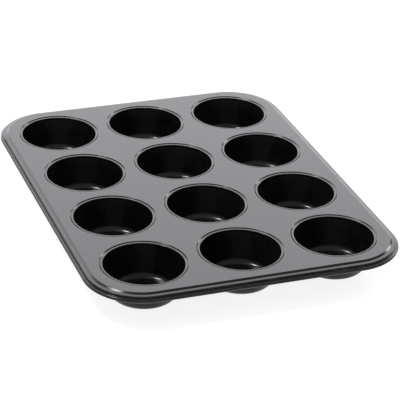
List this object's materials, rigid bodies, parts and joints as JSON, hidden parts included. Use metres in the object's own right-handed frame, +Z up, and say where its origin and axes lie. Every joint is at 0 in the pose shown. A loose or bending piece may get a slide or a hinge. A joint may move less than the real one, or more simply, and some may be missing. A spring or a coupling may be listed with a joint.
{
  "type": "muffin tin",
  "caption": "Rectangular baking tin of drawn steel cups set in a flat deck with a stepped, wire-rolled rim, coated dark grey.",
  "frame": {"origin": "middle of the tin, on the plane that the cup bases stand on", "axes": "+X across the three columns of cups, +Y along the four rows, +Z up out of the open cups"},
  "size_m": [0.284, 0.371, 0.0303],
  "materials": {
    "deck_coating": "satin dark grey non-stick coating on thin steel sheet",
    "cup_coating": "satin dark grey non-stick coating on drawn steel",
    "steel_wire": "bare drawn steel wire, hidden inside the rolled edge"
  },
  "bodies": {
    "root": {"deck": "deck_coating", "rim_wire": "steel_wire", "cup_row_1_left": "cup_coating", "cup_row_1_middle": "cup_coating", "cup_row_1_right": "cup_coating", "cup_row_2_left": "cup_coating", "cup_row_2_middle": "cup_coating", "cup_row_2_right": "cup_coating", "cup_row_3_left": "cup_coating", "cup_row_3_middle": "cup_coating", "cup_row_3_right": "cup_coating", "cup_row_4_left": "cup_coating", "cup_row_4_middle": "cup_coating", "cup_row_4_right": "cup_coating"}
  },
  "joints": []
}
